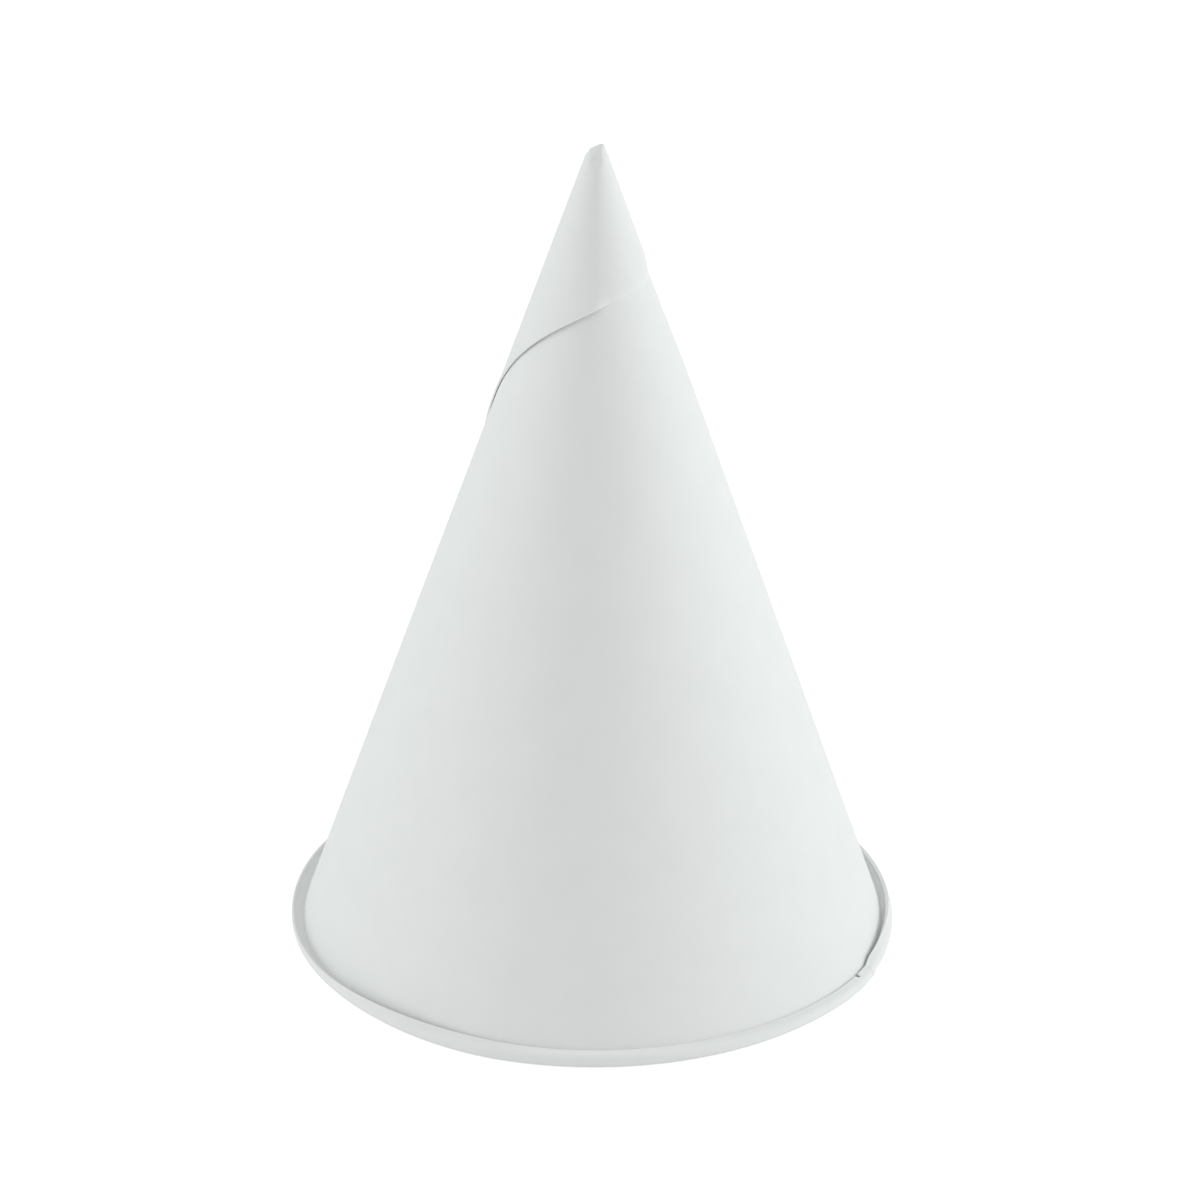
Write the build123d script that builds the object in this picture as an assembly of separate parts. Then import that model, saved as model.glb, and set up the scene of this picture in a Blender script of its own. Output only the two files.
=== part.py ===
from build123d import *
from math import acos, atan2, cos, degrees, hypot, radians, sin, sqrt, tan
import os

# A paper cone cup: one cut sheet wound into a cone, standing on its mouth.
# Origin: centre of the mouth, on the plane the curled rim rests on. +Z runs up to the closed tip.
# Azimuths are in degrees from the front (-Y), positive towards +X. A winding angle is the azimuth
# counted on from where the sheet's outer cut edge leaves the rim. Lengths are in millimetres.

# Driving dimensions
rim_diameter = 72.0  # over the curled rim, to half a paper thickness
cup_height = 95.8  # rest plane to the highest point of the tip
tip_diameter = 1.5  # of the wall's cone at cup_height, before the outer turn is added
paper_thickness = 0.22

# The curl: the mouth edge is turned out and up, and stays open as a gutter
curl_bend = 0.5  # radius inside the bend
curl_lean = 28.0  # degrees that the lip leans back in over the gutter
lip_length = 0.55  # straight part of the lip, up to its cut edge
bearing_press = 0.03  # how far the bend is pressed flat where it rests

# The sheet's outer cut edge: a straight cut across the flattened sheet
cut_offset = 18.3  # shortest distance from the cone's apex to the cut, along the paper
cut_side = 75.6  # azimuth where the cut comes that near
flap_side = 104.0  # azimuth of the flap's short edge, which runs up to the tip
flap_corner = 4.0  # radius of the corner between the two

# The sheet's inner cut edge runs straight down the inside of the cone
inner_edge_side = 65.0  # azimuth

# The tip is crimped shut
crimp_length = 2.0  # depth of paper pressed solid at the tip
crimp_slope = 20.0  # degrees that the top slopes down towards -X

# Construction values
curve_step = 6.0  # degrees between points on the wound flap's edges
buried_share = 0.6  # part of a paper thickness that the flap's inner face lies inside the wall

# The wall's outer face is the tangent from the tip to the inside of the curl's bend
double_paper = 2 * paper_thickness
tip_radius = tip_diameter / 2
bend_height = curl_bend + double_paper - bearing_press
bend_radius_at = rim_diameter / 2 - curl_bend - double_paper
run_in = bend_radius_at - tip_radius
run_up = cup_height - bend_height
half_angle = acos(curl_bend / hypot(run_in, run_up)) - atan2(run_up, run_in)
apex_height = cup_height + tip_radius / tan(half_angle)
level_thickness = paper_thickness / cos(half_angle)  # a paper thickness measured level
clear_above = tip_radius / 2  # height over cup_height that is built, then trimmed away


def cut_turn(slant):
    """Degrees of azimuth between the cut's nearest point and where it is slant from the apex."""
    return degrees(acos(cut_offset / slant) / sin(half_angle))


rim_slant = (apex_height - bend_height) / cos(half_angle)
start_side = cut_side - cut_turn(rim_slant)  # azimuth where the cut leaves the rim


def radial(azimuth):
    """Level unit vector pointing out at an azimuth."""
    return Vector(sin(radians(azimuth)), -cos(radians(azimuth)), 0)


def turn_centre(half_turn):
    """Centre of one half turn. The spiral is drawn from two centres a quarter layer either side."""
    side = 1 if half_turn % 2 else -1
    return radial(start_side) * (side * level_thickness / 4)


def outer_radius(half_turn, height):
    """Radius of the sheet's outer face, about the half turn's centre."""
    grown = level_thickness * (half_turn / 2 - 1 / 4)
    return (apex_height - height) * tan(half_angle) + grown


def wall_section(half_turn, layers, from_turn):
    """Section of the wall, curl and crimped tip, in the level-by-upright plane at a winding angle."""
    thick = layers * paper_thickness
    low = curl_bend + thick - bearing_press
    outward = (cos(half_angle), sin(half_angle))
    middle = (outer_radius(half_turn, low) + curl_bend / outward[0], low)
    lean = (cos(radians(curl_lean)), sin(radians(curl_lean)))

    def on_bend(radius, direction):
        return (middle[0] + radius * direction[0], middle[1] + radius * direction[1])

    def lip_end(radius):
        foot = on_bend(radius, lean)
        return (foot[0] - lip_length * lean[1], foot[1] + lip_length * lean[0])

    inward = (-outward[0], -outward[1])
    top = cup_height + 2 * clear_above
    hollow_top = cup_height - crimp_length
    hollow_radius = outer_radius(half_turn, hollow_top) - thick / outward[0]
    outside = curl_bend + thick
    below = (0, -1)
    edges = [
        Edge.make_line((0, top), (outer_radius(half_turn, top), top)),
        Edge.make_line((outer_radius(half_turn, top), top), on_bend(curl_bend, inward)),
        Edge.make_three_point_arc(
            on_bend(curl_bend, inward), on_bend(curl_bend, below), on_bend(curl_bend, lean)
        ),
        Edge.make_line(on_bend(curl_bend, lean), lip_end(curl_bend)),
        Edge.make_line(lip_end(curl_bend), lip_end(outside)),
        Edge.make_line(lip_end(outside), on_bend(outside, lean)),
        Edge.make_three_point_arc(
            on_bend(outside, lean), on_bend(outside, below), on_bend(outside, inward)
        ),
        Edge.make_line(on_bend(outside, inward), (hollow_radius, hollow_top)),
        Edge.make_line((hollow_radius, hollow_top), (0, hollow_top)),
        Edge.make_line((0, hollow_top), (0, top)),
    ]
    level = radial(start_side + from_turn)
    plane = Plane(origin=turn_centre(half_turn), x_dir=level, z_dir=level.cross(Vector(0, 0, 1)))
    return plane * Face(Wire(edges))


def wall_sector(half_turn, layers, from_turn, to_turn):
    """One stretch of wall and curl, revolved about its half turn's centre."""
    axis = Axis(turn_centre(half_turn), (0, 0, 1))
    return Solid.revolve(wall_section(half_turn, layers, from_turn), to_turn - from_turn, axis)


def wound_point(turn, slant, depth):
    """Point on the wound sheet: winding angle, distance from the apex, depth under the outer face."""
    half_turn = int(turn // 180)
    height = apex_height - slant * cos(half_angle)
    out = outer_radius(half_turn, height) - depth / cos(half_angle)
    return turn_centre(half_turn) + radial(start_side + turn) * out + Vector(0, 0, height)


def flap_edge():
    """Winding angles and slants along the flap's free edge: the straight cut, then its corner."""
    nearest = 360 + cut_side - start_side
    end = 360 + flap_side - start_side
    end_angle = radians((end - nearest)) * sin(half_angle)
    corner_angle = radians(90) - end_angle
    setback = flap_corner / tan(corner_angle / 2)
    centre = (cut_offset - flap_corner, cut_offset * tan(end_angle) - setback)
    corner_start = atan2(centre[1], cut_offset)
    straight_end = nearest + degrees(corner_start / sin(half_angle))
    count = round((straight_end - 360) / curve_step)
    edge = []
    for i in range(count + 1):
        turn = 360 + (straight_end - 360) * i / count
        slant = cut_offset / cos(radians(turn - nearest) * sin(half_angle))
        edge.append((turn, slant))
    sweep_angle = radians(180) - corner_angle
    corner_count = round(degrees(sweep_angle) / curve_step)
    for i in range(1, corner_count + 1):
        angle = sweep_angle * i / corner_count
        along = centre[0] + flap_corner * cos(angle)
        across = centre[1] + flap_corner * sin(angle)
        turn = nearest + degrees(atan2(across, along) / sin(half_angle))
        edge.append((turn, hypot(along, across)))
    return edge


def outer_flap():
    """The last turn of the sheet, from where its cut leaves the rim round to its short edge."""
    edge = flap_edge()
    top_slant = (apex_height - cup_height - clear_above) / cos(half_angle)
    inner_depth = (1 + buried_share) * paper_thickness
    steps = [float(i) for i in range(len(edge))]

    def curve(depth, slant_of):
        points = [wound_point(turn, slant_of(slant), depth) for turn, slant in edge]
        return Edge.make_spline(points, parameters=steps)

    outer_low = curve(0, lambda slant: slant)
    inner_low = curve(inner_depth, lambda slant: slant)
    outer_top = curve(0, lambda slant: top_slant)
    inner_top = curve(inner_depth, lambda slant: top_slant)
    faces = [
        Face.make_surface_from_curves(outer_low, outer_top),
        Face.make_surface_from_curves(inner_low, inner_top),
        Face.make_surface_from_curves(outer_low, inner_low),
        Face.make_surface_from_curves(outer_top, inner_top),
    ]
    for at in (0, 1):
        corners = [c.position_at(at) for c in (outer_low, outer_top, inner_top, inner_low)]
        faces.append(Face(Wire.make_polygon(corners, close=True)))
    return Solid(Shell(faces))


def cup_cone():
    """The whole cup as one solid, from the winding's layers."""
    inner_edge_turn = (inner_edge_side - start_side) % 360
    first_half = 180.0
    cup = wall_sector(0, 1, 0.0, first_half)
    if inner_edge_turn < first_half:
        stretches = [(0, 2, inner_edge_turn, first_half), (1, 2, first_half, 360.0)]
    else:
        stretches = [(1, 1, first_half, inner_edge_turn), (1, 2, inner_edge_turn, 360.0)]
    for stretch in stretches:
        cup = cup.fuse(wall_sector(*stretch))
    cup = cup.fuse(outer_flap())

    reach = rim_diameter
    below_rest = Pos(0, 0, -reach / 2) * Box(2 * reach, 2 * reach, reach)
    trim = Pos(outer_radius(3, cup_height), 0, cup_height) * Rot(0, -crimp_slope, 0)
    above_tip = trim * Pos(0, 0, reach / 2) * Box(reach, reach, reach)
    return cup.cut(below_rest, above_tip)


cup = cup_cone()
os.makedirs("parts", exist_ok=True)
export_step(cup, "parts/cup_cone.step")

size = cup.bounding_box().size
print(f"solids {len(cup.solids())}, valid {cup.is_valid}, volume {cup.volume:.1f} mm3")
print(f"size {size.X:.2f} x {size.Y:.2f} x {size.Z:.2f} mm, half angle {degrees(half_angle):.2f}")
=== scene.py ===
import math

import bpy
import numpy as np
from mathutils import Matrix, Vector


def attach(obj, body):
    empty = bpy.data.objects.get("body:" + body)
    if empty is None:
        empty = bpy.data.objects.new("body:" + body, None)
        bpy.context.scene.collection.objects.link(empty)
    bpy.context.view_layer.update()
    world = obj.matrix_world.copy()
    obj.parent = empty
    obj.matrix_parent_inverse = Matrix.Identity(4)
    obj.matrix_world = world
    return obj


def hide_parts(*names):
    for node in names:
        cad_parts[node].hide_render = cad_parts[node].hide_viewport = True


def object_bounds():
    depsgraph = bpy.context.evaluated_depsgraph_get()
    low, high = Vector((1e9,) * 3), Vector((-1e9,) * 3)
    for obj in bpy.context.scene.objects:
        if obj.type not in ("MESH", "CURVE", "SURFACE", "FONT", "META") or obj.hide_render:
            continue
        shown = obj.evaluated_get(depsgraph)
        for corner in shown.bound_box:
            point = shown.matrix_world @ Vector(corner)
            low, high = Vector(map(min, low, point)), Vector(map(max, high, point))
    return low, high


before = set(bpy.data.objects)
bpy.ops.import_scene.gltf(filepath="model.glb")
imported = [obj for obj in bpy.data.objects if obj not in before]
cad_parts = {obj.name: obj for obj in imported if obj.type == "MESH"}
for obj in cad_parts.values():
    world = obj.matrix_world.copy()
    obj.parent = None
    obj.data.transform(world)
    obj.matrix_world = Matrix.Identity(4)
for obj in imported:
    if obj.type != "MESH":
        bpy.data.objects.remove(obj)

cadLow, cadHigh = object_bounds()
print("frame loaded")

# A paper cone cup standing on its mouth, tip up. Lengths here are in millimetres, azimuths in
# degrees from the front (-Y), positive towards +X. The sheet winds from the inside out, and
# "wound" is the azimuth counted on along it: the inner cut edge is on the first turn, and the
# outer cut on the last one.
mm = 0.001
middleTurn = 360  # wound azimuth of the front on the second turn
lastTurn = 720  # and on the third

cup = {
    # The sheet and its cuts
    "paper": 0.205,  # thickness of the sheet
    "pitch": 0.22,  # from one turn to the next, so that turns lie apart by a hair
    "tipWidth": 1.5,  # across the wall's outer face at the very top
    "wallBend": 0.5,  # the bend radius that the frame's wall line is drawn to
    "lineAt": 378.4,  # wound azimuth whose outer face lies on the wall's own cone
    "innerEdge": 65.0,  # azimuth where the sheet starts, inside
    "cutOffset": 18.3,  # nearest that the outer cut comes to the apex, along the paper
    "cutSide": 75.6,  # azimuth where it comes that near
    "cutLeaves": 558.0,  # wound azimuth where the outer cut runs off the curl
    "flapSide": 104.0,  # azimuth of the flap's short edge
    "flapCorner": 4.0,  # radius of the corner between the cut and the short edge
    "doubleFrom": (0, 3),  # degrees past the inner edge in which the rim becomes two layers
    "doubleTo": (132.4, 136.4),  # and in which it goes back to one, as the cut leaves it
    # The curled mouth, by azimuth: inside radius of the bend, degrees that the lip leans in over
    # the gutter, and length of the lip. It is open at the left and rolled nearly shut in front.
    "curlSides": [-180, -118, -90, -60, -42, -24, -8, 12, 30, 48, 62, 78, 92, 120],
    "bends": [0.52, 0.54, 0.55, 0.55, 0.56, 0.60, 0.62, 0.62, 0.57, 0.52, 0.50, 0.51, 0.53, 0.52],
    "leans": [10, 0, 2, 13, 50, 82, 97, 99, 92, 86, 79, 50, 27, 6],
    "lips": [0.58, 0.68, 0.58, 0.58, 0.68, 0.80, 0.75, 0.74, 0.76, 0.67, 0.62, 0.62, 0.62, 0.68],
    "press": 0.03,  # how far the bend is pressed flat where it rests
    "nickSide": 61.0,  # a short split in the lip beside the inner edge's end
    "nickWidth": 0.4,  # degrees
    "nickDepth": 0.55,
    "startPress": 6.0,  # degrees in which the sheet's pressed start thickens in the rim
    "startThin": 0.9,  # share of the thickness that is pressed away at the start
    "startReach": (3.4, 4.2),  # distances from the lip's edge in which the pressing fades
    # Unevenness of a machine-wound rim: size, width in degrees and azimuth of each swelling
    "swellings": [(0.05, 17, 36), (0.42, 13, 61), (-0.27, 22, -47), (0.15, 13, -20),
                  (0.16, 14, 118), (0.14, 12, -114)],
    "swellHeight": 14.0,  # how high up the wall it can be felt
    "margin": 0.033,  # kept inside the frame's box
    "ripple": 0.014,
    "rippleWaves": 9,
    "rippleTurn": 40,  # degrees
    # The outer cut edge: azimuths along it, and how far it stands off the wall there
    "liftSides": (-150, -118, -98, -80, -50, -4, 14),
    "lifts": (0, 0.25, 0.07, 0.11, 0.24, 0.27, 0),
    "liftReach": 1.7,  # how far in from the edge the lift goes
    "gluedFrom": (-4, 14),  # azimuths in which the glue comes to hold the edge down
    "gluedPress": 0.13,  # how much the glued edge is rounded down
    "gluedReach": 0.45,
    # The crimped tip
    "foldDepth": 1.3,  # height over which the paper's end is folded in and pinched shut
    "shut": 0.985,  # share of the inside radius that the pinch closes, front to back
    "narrow": 0.08,  # and from side to side
    "slope": 0.42,  # fall of the top edge either side of its peak, per millimetre
    "peak": 0.45,  # how far right of the axis the highest point lies
    "roundTop": 0.25,  # fall of the top edge at the sheet's front and back
    "roundAt": 0.8,  # millimetres from the axis at which it falls that far
    "topGap": 0.02,  # kept under the frame's top
    "drawIn": 0.30,  # how far the right side is pulled in near the tip
    "drawDepths": (28.0, 15.0),  # below the top, between which the pull comes in
    "drawAcross": (-1, 1.5),  # from the axis to the right, between which it comes in
    "drawLoose": 0.2,  # share of the pull that the outer flap doesn't follow
    "looseSides": (55, 85),  # azimuths on the flap in which it comes loose
    "looseDepths": (12, 6),  # below the top, between which it is held again
    "dent": 0.42,  # depth of the thumb dent under the top edge, in front
    "dentBelow": 1.45,
    "dentLeft": 0.15,
    "dentSize": 0.52,
    "dentEdge": 0.3,
    "crease": 0.16,  # depth of the pinch's crease along the top edge, in front
    "creaseBelow": 0.5,
    "creaseSize": 0.16,
    "creaseEdge": 0.2,
    # The flat sheet on its UV map, and the look of a raw edge, which is lighter partly as a painted
    # highlight
    "mapUnit": 430,  # millimetres in one unit of the map
    "mapOuter": (108, 108),  # where the outer face's apex lies on it
    "mapInner": (323, 108),
    "rawAndHighlightReach": 0.12,  # how far in from a cut edge the raw paper and its painted highlight show
    "sharpAngle": 38,  # degrees from which an edge is shaded as sharp
}

# How finely the sheet is divided: columns by wound azimuth, rows from the tip to the free edge
grid = {
    "step": 2.5,  # degrees between columns
    "closeStep": 0.75,
    "nickReach": 1.2,
    "nickStep": 0.12,
    "crossing": 1.8,  # degrees in which the cut runs off the curl
    "crossingStep": 0.05,
    "afterCrossing": 12,
    "corner": 16,  # degrees before the flap's short edge
    "cornerColumns": 26,
    "upperRows": 33,
    "upperCrowd": 1.25,  # power that crowds the rows towards the tip
    "edgeRows": 50,
    "edgeCrowd": 1.15,  # and towards the start of the strip along the free edge
    "edgeStrip": 4.6,  # depth of that strip
    "edgeShare": 0.5,  # most of a column that it takes
}

cupHeight = cadHigh.z / mm
boxCentre = np.array([(cadLow.x + cadHigh.x) / 2 / mm, (cadLow.y + cadHigh.y) / 2 / mm])
boxReach = np.array([(cadHigh.x - cadLow.x) / 2 / mm, (cadHigh.y - cadLow.y) / 2 / mm])

# The wall's outer face is the tangent from the tip to the inside of the bend, as in the frame
bendAt = cup["wallBend"] + 2 * cup["pitch"]
runIn = boxReach.mean() - bendAt - cup["tipWidth"] / 2
runUp = cupHeight - bendAt
halfAngle = math.acos(cup["wallBend"] / math.hypot(runIn, runUp)) - math.atan2(runUp, runIn)
cosA, sinA, tanA = math.cos(halfAngle), math.sin(halfAngle), math.tan(halfAngle)
apexHeight = cupHeight + cup["tipWidth"] / 2 / tanA
flapEnd = lastTurn + cup["flapSide"]


def fade(value, low, high):
    # smooth step: 0 below low, 1 above high, and 3t2 - 2t3 between them
    t = np.clip((value - low) / (high - low), 0, 1)
    return t * t * (3 - 2 * t)


def bell(value, width):
    # exp(-(value / width) squared)
    return np.exp(-((value / width) ** 2))


def aroundRim(side, values):
    # smooth periodic value by azimuth: a cubic through the chosen places, whose slope at each
    # place is weighed from the rises to the places either side
    sides = cup["curlSides"]
    places = np.array([sides[-1] - 360] + sides + [sides[0] + 360, sides[1] + 360], float)
    heights = np.array([values[-1]] + values + [values[0], values[1]], float)
    slopes = np.gradient(heights, places)
    at = (np.asarray(side) - places[1]) % 360 + places[1]
    k = np.clip(np.searchsorted(places, at, side="right") - 1, 1, len(places) - 3)
    span = places[k + 1] - places[k]
    t = (at - places[k]) / span
    rise = heights[k + 1] - heights[k]
    bow = slopes[k] * span * t * (1 - t) ** 2 - slopes[k + 1] * span * t**2 * (1 - t)
    return heights[k] + rise * (3 * t**2 - 2 * t**3) + bow


def rimLayers(side):
    # layers in the rim: 2 between the inner edge and where the outer cut leaves the rim, else 1
    past = (side - cup["innerEdge"]) % 360
    return 1 + fade(past, *cup["doubleFrom"]) * (1 - fade(past, *cup["doubleTo"]))


def rimLine(side):
    # outside radius of the rim: the frame's box seen from the axis, plus a bell for each swelling
    # and a sine ripple
    a = np.radians(side)
    middle = boxCentre[0] * np.sin(a) - boxCentre[1] * np.cos(a)
    line = boxReach.min() - cup["margin"] + middle
    for size, width, centre in cup["swellings"]:
        away = (side - centre + 180) % 360 - 180
        line = line + size * bell(away, width)
    waves = np.sin(np.radians(cup["rippleWaves"] * side + cup["rippleTurn"]))
    return line + cup["ripple"] * (waves - 1)


def acrossFlat(wound):
    # angle on the flattened sheet from where the outer cut comes nearest: turn times sine
    return np.radians(wound - lastTurn - cup["cutSide"]) * sinA


def cutSlant(wound):
    # distance from the apex to the outer cut: offset / cosine of the angle across the flat sheet,
    # which is kept short of a right angle
    steepest = 1.5
    return cup["cutOffset"] / np.cos(np.clip(acrossFlat(wound), -steepest, steepest))


def cornerSlant(wound):
    # the same on the flap's rounded corner: the far crossing of a ray with a circle, and out of
    # the way where the straight cut still runs
    farAway = 1000
    radius, offset = cup["flapCorner"], cup["cutOffset"]
    endTurn = math.radians(cup["flapSide"] - cup["cutSide"]) * sinA
    setback = radius / math.tan((math.pi / 2 - endTurn) / 2)
    centre = (offset - radius, offset * math.tan(endTurn) - setback)
    across = acrossFlat(wound)
    along = centre[0] * np.cos(across) + centre[1] * np.sin(across)
    square = along**2 - (centre[0] ** 2 + centre[1] ** 2 - radius**2)
    startsAt = math.atan2(centre[1], offset)
    return np.where(across > startsAt, along + np.sqrt(np.maximum(square, 0)), farAway)


def curlSection(side):
    # the curl at an azimuth: bend radius, angle the bend turns through, lean, and the bend's
    # centre (out, up), which touches the wall's line
    bend = aroundRim(side, cup["bends"])
    lean = np.radians(aroundRim(side, cup["leans"]))
    up = bend + rimLayers(side) * cup["pitch"] - cup["press"]
    out = (apexHeight - up) * tanA + bend / cosA
    return bend, math.pi - halfAngle + lean, lean, out, up


def paperLine(side, slant):
    # the wall's own line: straight from the apex, then round the bend, then the straight lip.
    # Gives the point (out, up) and the level and upright parts of the normal into the gutter.
    bend, turned, lean, out, up = curlSection(side)
    straight = (apexHeight - up + bend * sinA) / cosA
    arc = np.clip((slant - straight) / bend, 0, turned)
    turn = math.pi + halfAngle + arc
    past = np.maximum(slant - straight - bend * turned, 0)
    onWall = slant < straight
    x = out + bend * np.cos(turn) - past * np.sin(lean)
    z = up + bend * np.sin(turn) + past * np.cos(lean)
    x = np.where(onWall, slant * sinA, x)
    z = np.where(onWall, apexHeight - slant * cosA, z)
    return x, z, -np.cos(turn), -np.sin(turn)


def edgeSlant(wound):
    # where the sheet ends: the curled lip's edge less the nick, which is exp(-(turn / width)^4), or
    # the cut where that comes first
    bend, turned, lean, out, up = curlSection(wound)
    lip = aroundRim(wound, cup["lips"])
    full = (apexHeight - up + bend * sinA) / cosA + bend * turned + lip
    split = ((wound - middleTurn - cup["nickSide"]) / cup["nickWidth"]) ** 2
    full = full - cup["nickDepth"] * bell(split, 1)
    return np.minimum(np.minimum(full, cutSlant(wound)), cornerSlant(wound))


def woundColumns():
    # wound azimuths: even steps, closer at the sheet's start and the nick, much closer where the
    # cut runs off the curl, and crowding quadratically into the flap's corner
    first, leaves = cup["innerEdge"], cup["cutLeaves"]
    crossed, settled = leaves + grid["crossing"], leaves + grid["afterCrossing"]
    nickAt, reach = middleTurn + cup["nickSide"], grid["nickReach"]
    inCorner = (1 - np.linspace(0, 1, grid["cornerColumns"])) ** 2
    return np.unique(np.concatenate([
        np.arange(first, leaves, grid["step"]),
        np.arange(first, first + cup["startPress"], grid["closeStep"]),
        nickAt + np.arange(-reach, reach + grid["nickStep"] / 2, grid["nickStep"]),
        np.arange(leaves, crossed, grid["crossingStep"]),
        np.arange(crossed, settled, grid["closeStep"]),
        np.arange(settled, flapEnd - grid["corner"], grid["step"]),
        flapEnd - grid["corner"] * inCorner,
    ]))


def sheetRows(wound):
    # distances from the apex along each column: powers of an even count, first down the wall and
    # then in a finer strip to the free edge
    topSlant = (apexHeight - cupHeight) / cosA
    end = edgeSlant(wound)[:, None]
    strip = np.minimum(grid["edgeStrip"], (end - topSlant) * grid["edgeShare"])
    downWall = np.linspace(0, 1, grid["upperRows"] + 1)[None, :-1] ** grid["upperCrowd"]
    inStrip = 1 - np.linspace(0, 1, grid["edgeRows"])[None, :] ** grid["edgeCrowd"]
    upper = topSlant + (end - strip - topSlant) * downWall
    lower = end - strip * inStrip
    return np.concatenate([upper, lower], axis=1), end


def drawTip(x, z, wound):
    # the right side pulled in near the tip: a product of smooth steps, less on the loose flap
    low, high = (cupHeight - depth for depth in cup["drawDepths"])
    heldLow, heldHigh = (cupHeight - depth for depth in cup["looseDepths"])
    loose = fade(wound - lastTurn, *cup["looseSides"]) * (1 - fade(z, heldLow, heldHigh))
    pull = cup["drawIn"] * fade(z, low, high) * fade(x, *cup["drawAcross"])
    return x - pull * (1 - cup["drawLoose"] * loose)


def pinchTip(x, y, z):
    # a bell-shaped dent and crease in front, then the paper's end folded in along a quarter
    # circle to a ridge that slopes down either side of its peak
    fromPeak = np.abs(x - cup["peak"])
    dent = bell(z - cupHeight + cup["dentBelow"], cup["dentSize"])
    dent = dent * bell(x + cup["dentLeft"], cup["dentSize"])
    y = y + cup["dent"] * dent * fade(-y, 0, cup["dentEdge"])
    creaseAt = cupHeight - cup["creaseBelow"] - cup["slope"] * fromPeak
    y = y + cup["crease"] * bell(z - creaseAt, cup["creaseSize"]) * fade(-y, 0, cup["creaseEdge"])
    folded = np.clip((z - cupHeight + cup["foldDepth"]) / cup["foldDepth"], 0, 1)
    turnIn = 1 - np.sqrt(np.maximum(1 - folded**2, 0))
    y = y * (1 - cup["shut"] * turnIn)
    x = x * (1 - cup["narrow"] * turnIn)
    z = z - folded * cup["slope"] * np.abs(x - cup["peak"])
    z = z - folded * cup["roundTop"] * (y / cup["roundAt"]) ** 2
    return x, y, np.minimum(z, cupHeight - cup["topGap"])


def sheetFace(wound, slant, end, depth):
    # one face of the sheet: the wall's line, moved out by the winding and in by depth, then the
    # lift of the cut edge, the uneven rim, and the tip; turned to its azimuth about the axis
    side = wound[:, None] + 0 * slant
    out, up, normalOut, normalUp = paperLine(side, slant)
    fromEdge = end - slant
    layer = cup["pitch"] * (side - cup["lineAt"]) / 360
    lifted = np.interp(side - lastTurn, cup["liftSides"], cup["lifts"])
    layer = layer + lifted * bell(fromEdge, cup["liftReach"])
    if depth == 0:
        glued = fade(side - lastTurn, *cup["gluedFrom"])
        layer = layer - cup["gluedPress"] * glued * bell(fromEdge, cup["gluedReach"])
    else:
        nearLip = 1 - fade(fromEdge, *cup["startReach"])
        started = fade(side, cup["innerEdge"], cup["innerEdge"] + cup["startPress"])
        depth = depth * (1 - cup["startThin"] * nearLip * (1 - started))
    out = out + (layer - depth) * normalOut
    up = up + (layer - depth) * normalUp
    bend, turned, lean, centreOut, centreUp = curlSection(side)
    widest = centreOut + bend + rimLayers(side) * cup["pitch"]
    out = out + (rimLine(side) - widest) * np.exp(-np.maximum(up, 0) / cup["swellHeight"])
    a = np.radians(side)
    x, y = out * np.sin(a), -out * np.cos(a)
    x, y, z = pinchTip(drawTip(x, up, side), y, up)
    return np.stack([x, y, np.maximum(z, 0)], axis=-1)


def gridFaces(columns, ring):
    # quads of a tube: each column is a closed ring, joined to the next one
    i = np.arange(columns - 1)[:, None] * ring
    j = np.arange(ring)[None, :]
    k = (j + 1) % ring
    return np.stack([i + j, i + k, i + ring + k, i + ring + j], axis=-1).reshape(-1, 4)


def endFaces(start, ring, flip):
    # quads that close a cut end: across from one face of the sheet to the other
    j = np.arange(ring // 2 - 1)
    quads = np.stack([start + j, start + j + 1, start + ring - 2 - j, start + ring - 1 - j], axis=-1)
    return quads[:, ::-1] if flip else quads


def makeMesh(name, points, quads, smooth=True):
    # whole arrays straight into a mesh, in metres: points times a thousandth
    mesh = bpy.data.meshes.new(name)
    mesh.vertices.add(len(points))
    mesh.vertices.foreach_set("co", (points * mm).astype(np.float32).ravel())
    mesh.loops.add(quads.size)
    mesh.loops.foreach_set("vertex_index", quads.astype(np.int32).ravel())
    mesh.polygons.add(len(quads))
    mesh.polygons.foreach_set("loop_start", (np.arange(len(quads)) * 4).astype(np.int32))
    mesh.polygons.foreach_set("loop_total", np.full(len(quads), 4, np.int32))
    mesh.update(calc_edges=True)
    mesh.validate()
    mesh.polygons.foreach_set("use_smooth", np.full(len(quads), smooth))
    return mesh


def mapSheet(mesh, wound, slant):
    # the flat sheet as a UV map: polar places about the apex, the two faces side by side
    flatTurn = (np.radians(wound - cup["innerEdge"]) * sinA)[:, None]
    flat = np.stack([slant * np.cos(flatTurn), slant * np.sin(flatTurn)], axis=-1)
    both = np.concatenate([flat + cup["mapOuter"], flat[:, ::-1] + cup["mapInner"]], axis=1)
    layout = mesh.uv_layers.new(name="flatSheet")
    corners = np.zeros(len(mesh.loops), np.int32)
    mesh.loops.foreach_get("vertex_index", corners)
    placed = (both / cup["mapUnit"]).reshape(-1, 2)[corners]
    layout.data.foreach_set("uv", placed.astype(np.float32).ravel())


def markEdgesAndHighlight(mesh, slant, end):
    # how near each point is to a raw cut edge: exp(-distance / reach), and 1 on the two ends; the
    # edge's lighter colour is partly painted highlight
    edgeAndHighlight = np.exp(-(end - slant) / cup["rawAndHighlightReach"])
    edgeAndHighlight[[0, -1]] = 1
    edge = mesh.attributes.new("rawEdgeAndHighlight", "FLOAT", "POINT")
    edge.data.foreach_set("value", np.concatenate([edgeAndHighlight, edgeAndHighlight[:, ::-1]], 1).astype(np.float32).ravel())


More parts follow.
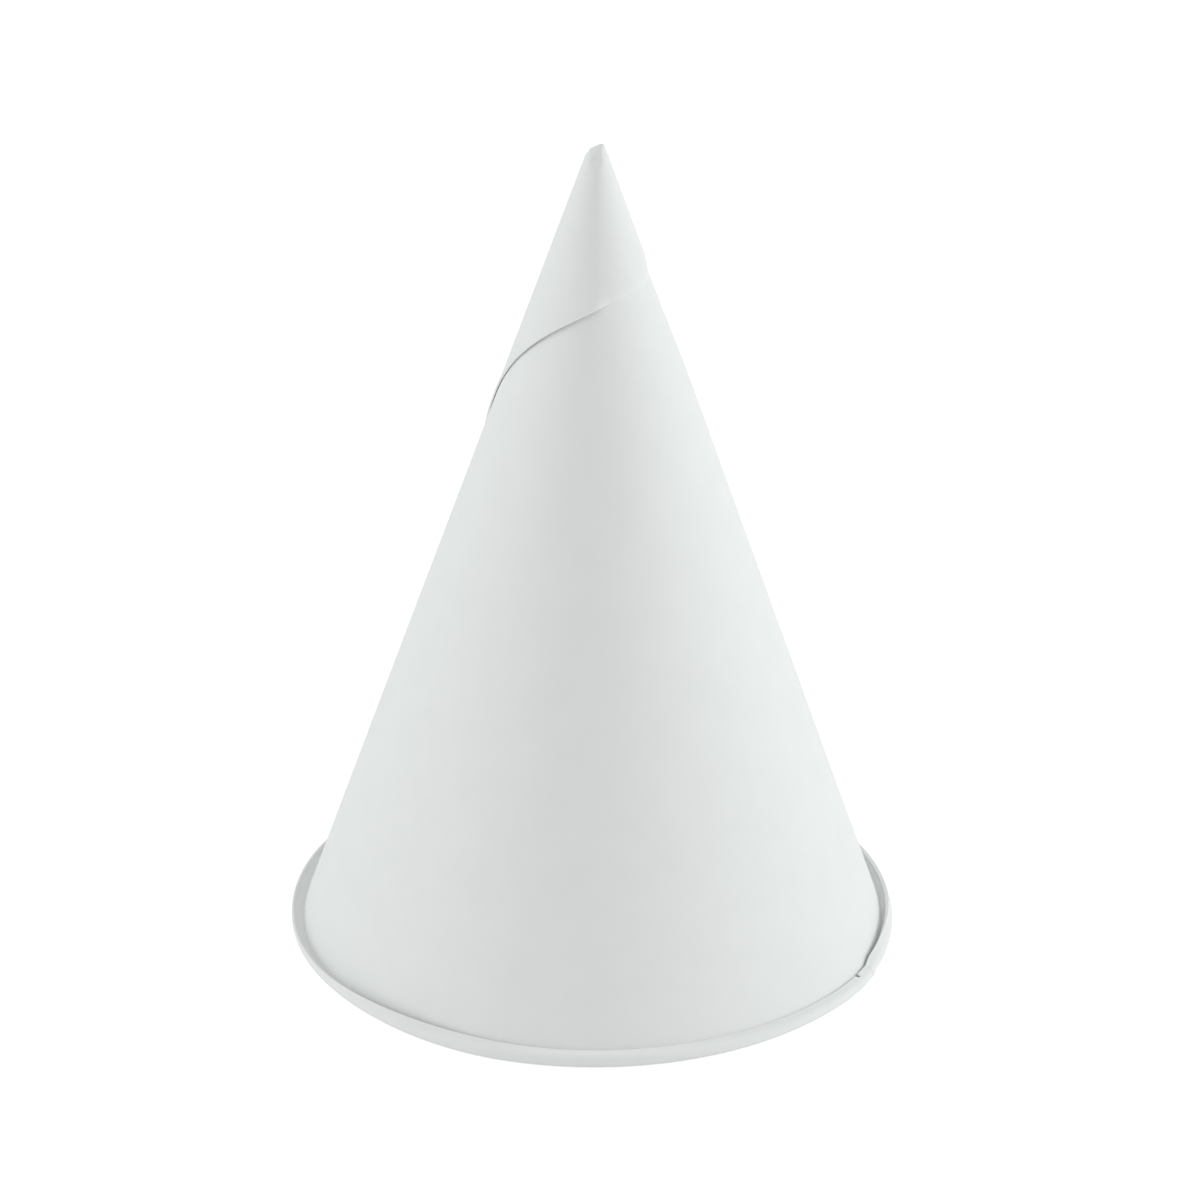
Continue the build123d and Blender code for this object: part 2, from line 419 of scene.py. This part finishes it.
def windCup():
    # the whole cup: outer face from tip to free edge, over the edge, and back up the inner face
    wound = woundColumns()
    slant, end = sheetRows(wound)
    outer = sheetFace(wound, slant, end, 0)
    inner = sheetFace(wound, slant, end, cup["paper"])[:, ::-1]
    ring = np.concatenate([outer, inner], axis=1)
    columns, count = ring.shape[:2]
    first = endFaces(0, count, True)
    last = endFaces((columns - 1) * count, count, False)
    quads = np.concatenate([gridFaces(columns, count), first, last])
    mesh = makeMesh("cupPaper", ring.reshape(-1, 3), quads)
    mesh.set_sharp_from_angle(angle=math.radians(cup["sharpAngle"]))
    mapSheet(mesh, wound, slant)
    markEdgesAndHighlight(mesh, slant, end)
    piece = bpy.data.objects.new("paper_cone", mesh)
    bpy.context.scene.collection.objects.link(piece)
    print("cup wound:", len(mesh.polygons) * 2, "triangles")
    return piece


paperLook = {
    "colour": (0.888, 0.900, 0.896, 1),
    "shade": (0.862, 0.876, 0.870, 1),
    # raw cut edge: cream paper tone, lightened further as a painted highlight of the light-catching
    # edge
    "edgeColourAndHighlight": (0.93, 0.93, 0.915, 1),
    "cloudSize": 5.0,  # millimetres across the paper's cloudy formation
    "cloudRange": (0.3, 0.7, 0, 0.75),  # noise from and to, and share of the shade from and to
    "fibreWidth": 0.10,
    "fibreLength": 0.9,
    "fibreTurns": (24, -61),  # degrees of the two ways that the fibres lie
    "fibreRange": (0.45, 0.8, 0, 1),
    "toothSize": 0.28,
    "toothTurn": 10,
    "toothHeight": 0.010,
    "bump": 0.35,
    "roughRange": (0.25, 0.75, 0.78, 0.92),  # noise from and to, and roughness from and to
    "gloss": 0.1,
    "refraction": 1.46,
}


def addNode(tree, kind, place, **values):
    # a node at a place in the tree, with its settings
    node = tree.nodes.new(kind)
    node.location = place
    for name, value in values.items():
        setattr(node, name, value)
    return node


def mapped(tree, source, size, turn, place):
    # the flat sheet's plane, scaled by its unit over a pattern's size along and across, and turned
    node = addNode(tree, "ShaderNodeMapping", place)
    node.inputs["Scale"].default_value = (cup["mapUnit"] / size[0], cup["mapUnit"] / size[1], 1)
    node.inputs["Rotation"].default_value = (0, 0, math.radians(turn))
    tree.links.new(source, node.inputs["Vector"])
    return node.outputs["Vector"]


def noise(tree, vector, detail, place):
    # flat fractal noise: one unit of the vector is one grain
    node = addNode(tree, "ShaderNodeTexNoise", place, noise_dimensions="2D")
    node.inputs["Scale"].default_value = 1
    node.inputs["Detail"].default_value = detail
    tree.links.new(vector, node.inputs["Vector"])
    return node.outputs["Fac"]


def blend(tree, share, first, second, place):
    # colour mix: first where share is 0, second where it is 1
    node = addNode(tree, "ShaderNodeMix", place, data_type="RGBA")
    tree.links.new(share, node.inputs[0])
    for k, value in ((6, first), (7, second)):
        if isinstance(value, tuple):
            node.inputs[k].default_value = value
        else:
            tree.links.new(value, node.inputs[k])
    return node.outputs[2]


def ranged(tree, value, numbers, place):
    # straight-line remap of a value: from low, from high, to low, to high
    node = addNode(tree, "ShaderNodeMapRange", place)
    for name, number in zip(("From Min", "From Max", "To Min", "To Max"), numbers):
        node.inputs[name].default_value = number
    tree.links.new(value, node.inputs["Value"])
    return node.outputs["Result"]


def paperMaterial():
    # white cup board: cloudy formation, fibres lying both ways, a soft tooth, and raw cut edges
    # lightened partly as painted highlight
    material = bpy.data.materials.new("cupPaper")
    material.use_nodes = True
    tree = material.node_tree
    shader = tree.nodes["Principled BSDF"]
    look = paperLook
    shader.inputs["IOR"].default_value = look["refraction"]
    shader.inputs["Specular IOR Level"].default_value = look["gloss"]
    uv = addNode(tree, "ShaderNodeUVMap", (-1500, 0), uv_map="flatSheet").outputs["UV"]
    cloud, tooth = (look["cloudSize"],) * 2, (look["toothSize"],) * 2
    fibre = (look["fibreLength"], look["fibreWidth"])
    clouds = noise(tree, mapped(tree, uv, cloud, 0, (-1200, 300)), 3, (-950, 300))
    fibreA = noise(tree, mapped(tree, uv, fibre, look["fibreTurns"][0], (-1200, 0)), 2, (-950, 0))
    fibreB = noise(tree, mapped(tree, uv, fibre, look["fibreTurns"][1], (-1200, -300)), 2, (-950, -300))
    grain = noise(tree, mapped(tree, uv, tooth, look["toothTurn"], (-1200, -600)), 2, (-950, -600))
    # the raw cut edges: their lighter colour is partly a painted highlight
    edgeAndHighlight = addNode(tree, "ShaderNodeAttribute", (-950, -850), attribute_name="rawEdgeAndHighlight").outputs["Fac"]

    fibres = addNode(tree, "ShaderNodeMath", (-700, -100), operation="MAXIMUM")
    tree.links.new(fibreA, fibres.inputs[0])
    tree.links.new(fibreB, fibres.inputs[1])
    fibreShare = ranged(tree, fibres.outputs[0], look["fibreRange"], (-500, -100))
    cloudShare = ranged(tree, clouds, look["cloudRange"], (-700, 300))
    tone = blend(tree, cloudShare, look["colour"], look["shade"], (-500, 300))
    lightTone = blend(tree, fibreShare, tone, look["colour"], (-300, 200))
    # painted highlight along the cut edges, on top of the raw paper's own tone
    colour = blend(tree, edgeAndHighlight, lightTone, look["edgeColourAndHighlight"], (-100, 200))
    tree.links.new(colour, shader.inputs["Base Color"])

    rough = ranged(tree, grain, look["roughRange"], (-500, -500))
    tree.links.new(rough, shader.inputs["Roughness"])

    height = addNode(tree, "ShaderNodeMath", (-300, -350), operation="ADD")
    tree.links.new(grain, height.inputs[0])
    tree.links.new(fibreShare, height.inputs[1])
    bump = addNode(tree, "ShaderNodeBump", (-100, -350))
    bump.inputs["Strength"].default_value = look["bump"]
    bump.inputs["Distance"].default_value = look["toothHeight"] * mm
    tree.links.new(height.outputs[0], bump.inputs["Height"])
    tree.links.new(bump.outputs["Normal"], shader.inputs["Normal"])
    return material


paperCone = windCup()
paperCone.data.materials.append(paperMaterial())
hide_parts("cup_cone")
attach(paperCone, "root")
print("paper made")

# The studio's lengths are in metres
studio = {
    "floorSize": 3.0,
    "floorColour": (0.80, 0.80, 0.79, 1),
    "floorGlow": 0.15,  # light that the white table gives back from below
    "floorLift": 0.40,  # added where the camera sees the floor, so that it reads as white
    "skyFront": 0.52,  # light of the room straight in front, behind the camera
    "skyBack": 0.34,  # and from the sides round to the back
    "skyTop": 0.42,  # what straight above adds, fading to the horizon
    "frontEnds": -0.2,  # the direction's Y where the front's light has faded to the back's
    "panelAim": 0.5,  # share of the cup's height that they face
    "panelPlaces": [(-0.5, 0, 0.06), (0.5, 0, 0.06)],
    "panelPower": [1.13, 1.60],
    "panelColour": (0.93, 1.0, 1.0),
    "panelSize": (0.30, 0.60),
}


def seenDirectly(tree, place):
    # 1 for rays from the camera, off gloss or through glass, else 0
    path = addNode(tree, "ShaderNodeLightPath", place)
    total = path.outputs["Is Camera Ray"]
    for name in ("Is Glossy Ray", "Is Transmission Ray"):
        step = addNode(tree, "ShaderNodeMath", (place[0] + 200, place[1]), operation="MAXIMUM")
        tree.links.new(total, step.inputs[0])
        tree.links.new(path.outputs[name], step.inputs[1])
        total = step.outputs[0]
    return total


def makeFloor():
    # a flat white table that also glows a little, and more where it is seen directly
    size = studio["floorSize"] / mm
    corners = np.array([[-size, -size, 0], [size, -size, 0], [size, size, 0], [-size, size, 0]])
    floor = bpy.data.objects.new("floor", makeMesh("floor", corners, np.array([[0, 1, 2, 3]]), False))
    bpy.context.scene.collection.objects.link(floor)
    material = bpy.data.materials.new("floorPaper")
    material.use_nodes = True
    tree = material.node_tree
    tree.nodes.remove(tree.nodes["Principled BSDF"])
    plain = addNode(tree, "ShaderNodeBsdfDiffuse", (-300, 100))
    plain.inputs["Color"].default_value = studio["floorColour"]
    glow = addNode(tree, "ShaderNodeEmission", (-300, -100))
    lift = addNode(tree, "ShaderNodeMath", (-500, -100), operation="MULTIPLY_ADD")
    lift.inputs[1].default_value = studio["floorLift"]
    lift.inputs[2].default_value = studio["floorGlow"]
    tree.links.new(seenDirectly(tree, (-1000, -100)), lift.inputs[0])
    tree.links.new(lift.outputs[0], glow.inputs["Strength"])
    both = addNode(tree, "ShaderNodeAddShader", (-100, 0))
    tree.links.new(plain.outputs[0], both.inputs[0])
    tree.links.new(glow.outputs[0], both.inputs[1])
    tree.links.new(both.outputs[0], tree.nodes["Material Output"].inputs["Surface"])
    floor.data.materials.append(material)


def makeWorld():
    # a soft sky, a little brighter in front, that is plain white where the camera sees it
    world = bpy.data.worlds.new("studio")
    bpy.context.scene.world = world
    world.use_nodes = True
    tree = world.node_tree
    sky = tree.nodes["Background"]
    sky.inputs["Color"].default_value = (1, 1, 1, 1)
    way = addNode(tree, "ShaderNodeTexCoord", (-1300, 300)).outputs["Generated"]
    level = addNode(tree, "ShaderNodeSeparateXYZ", (-1100, 300))
    tree.links.new(way, level.inputs[0])
    front, back = studio["skyFront"], studio["skyBack"]
    soft = ranged(tree, level.outputs["Y"], (-1, studio["frontEnds"], front, back), (-900, 300))
    above = ranged(tree, level.outputs["Z"], (0, 1, 0, studio["skyTop"]), (-900, 600))
    total = addNode(tree, "ShaderNodeMath", (-600, 400), operation="ADD")
    tree.links.new(soft, total.inputs[0])
    tree.links.new(above, total.inputs[1])
    strength = addNode(tree, "ShaderNodeMix", (-300, 0))
    strength.inputs[3].default_value = 1.0
    tree.links.new(seenDirectly(tree, (-900, 0)), strength.inputs[0])
    tree.links.new(total.outputs[0], strength.inputs[2])
    tree.links.new(strength.outputs[0], sky.inputs["Strength"])


def makePanels():
    # two tall soft panels, one at each side, both turned to the middle of the cup
    aim = Vector((0, 0, cadHigh.z * studio["panelAim"]))
    for name, place, power in zip(("left", "right"), studio["panelPlaces"], studio["panelPower"]):
        light = bpy.data.lights.new("panel_" + name, "AREA")
        light.shape = "RECTANGLE"
        light.size, light.size_y = studio["panelSize"]
        light.energy = power
        light.color = studio["panelColour"]
        lamp = bpy.data.objects.new("panel_" + name, light)
        lamp.location = place
        lamp.rotation_euler = (Vector(place) - aim).to_track_quat("Z", "Y").to_euler()
        bpy.context.scene.collection.objects.link(lamp)


view = {
    "distance": 0.432,  # metres from the point it looks at
    "elevation": 24.61,  # degrees
    "aim": (0.000690, 0, 0.04104),
    "lens": 112.5,
    "roll": 0.508,  # degrees
    "clip": (0.01, 20),
}


def makeCamera():
    # looks at the aim point from the front, a little above, rolled a touch about its own axis
    e = math.radians(view["elevation"])
    back = Vector((0, -math.cos(e), math.sin(e)))
    camera = bpy.data.objects.new("camera", bpy.data.cameras.new("camera"))
    camera.data.lens = view["lens"]
    camera.data.clip_start, camera.data.clip_end = view["clip"]
    turn = Matrix.Rotation(math.radians(90 - view["elevation"]), 4, "X")
    turn = turn @ Matrix.Rotation(math.radians(view["roll"]), 4, "Z")
    camera.matrix_world = Matrix.Translation(Vector(view["aim"]) + back * view["distance"]) @ turn
    bpy.context.scene.collection.objects.link(camera)
    bpy.context.scene.camera = camera


makeFloor()
makeWorld()
makePanels()
makeCamera()
bpy.context.scene.view_settings.view_transform = "Standard"
print("studio ready")
